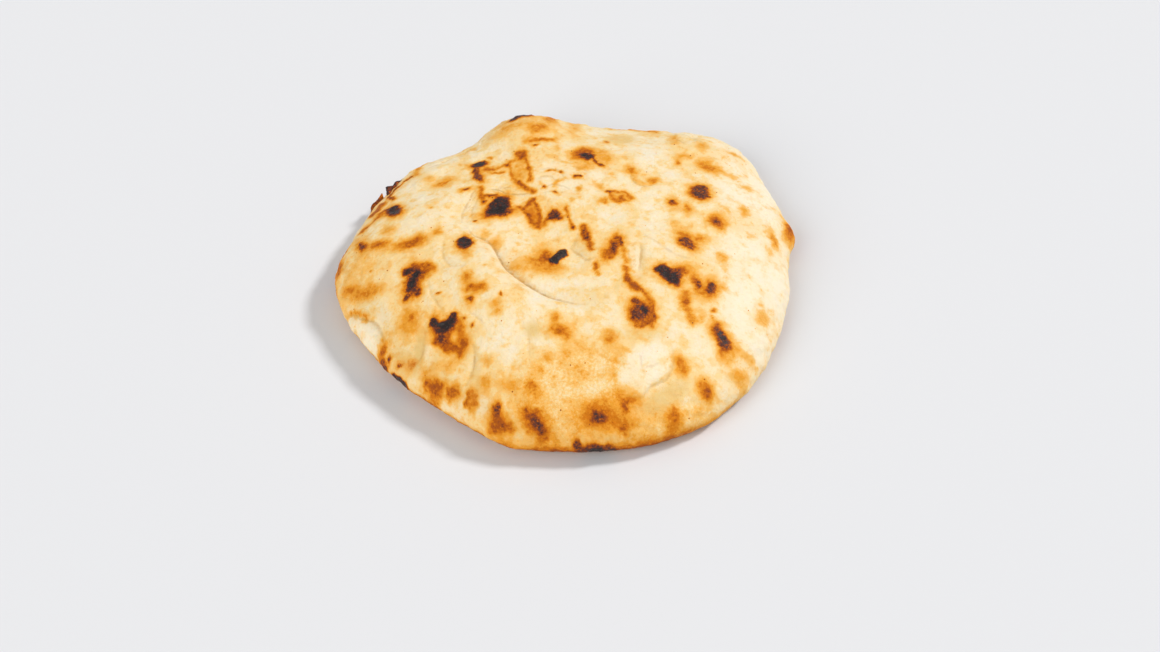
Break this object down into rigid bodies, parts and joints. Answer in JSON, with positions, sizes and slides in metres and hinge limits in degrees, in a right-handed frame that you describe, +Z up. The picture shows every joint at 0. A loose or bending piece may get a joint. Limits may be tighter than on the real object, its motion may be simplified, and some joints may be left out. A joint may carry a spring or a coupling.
{
  "type": "lepinja flatbread",
  "caption": "Round puffed flatbread with a low uneven dome, a thin rounded rim, soft creases and dark oven scorches. It lies flat on its base.",
  "frame": {"origin": "middle of the bread's plan, on the flat base that it rests on", "axes": "+Z up, +X to the right and +Y away from the viewer in the picture"},
  "size_m": [0.2284, 0.2252, 0.0403],
  "materials": {
    "baked_crust": "matt baked dough, pale cream with tan and brown toasting and black scorches"
  },
  "bodies": {
    "root": {"lepinja": "baked_crust"}
  },
  "joints": []
}
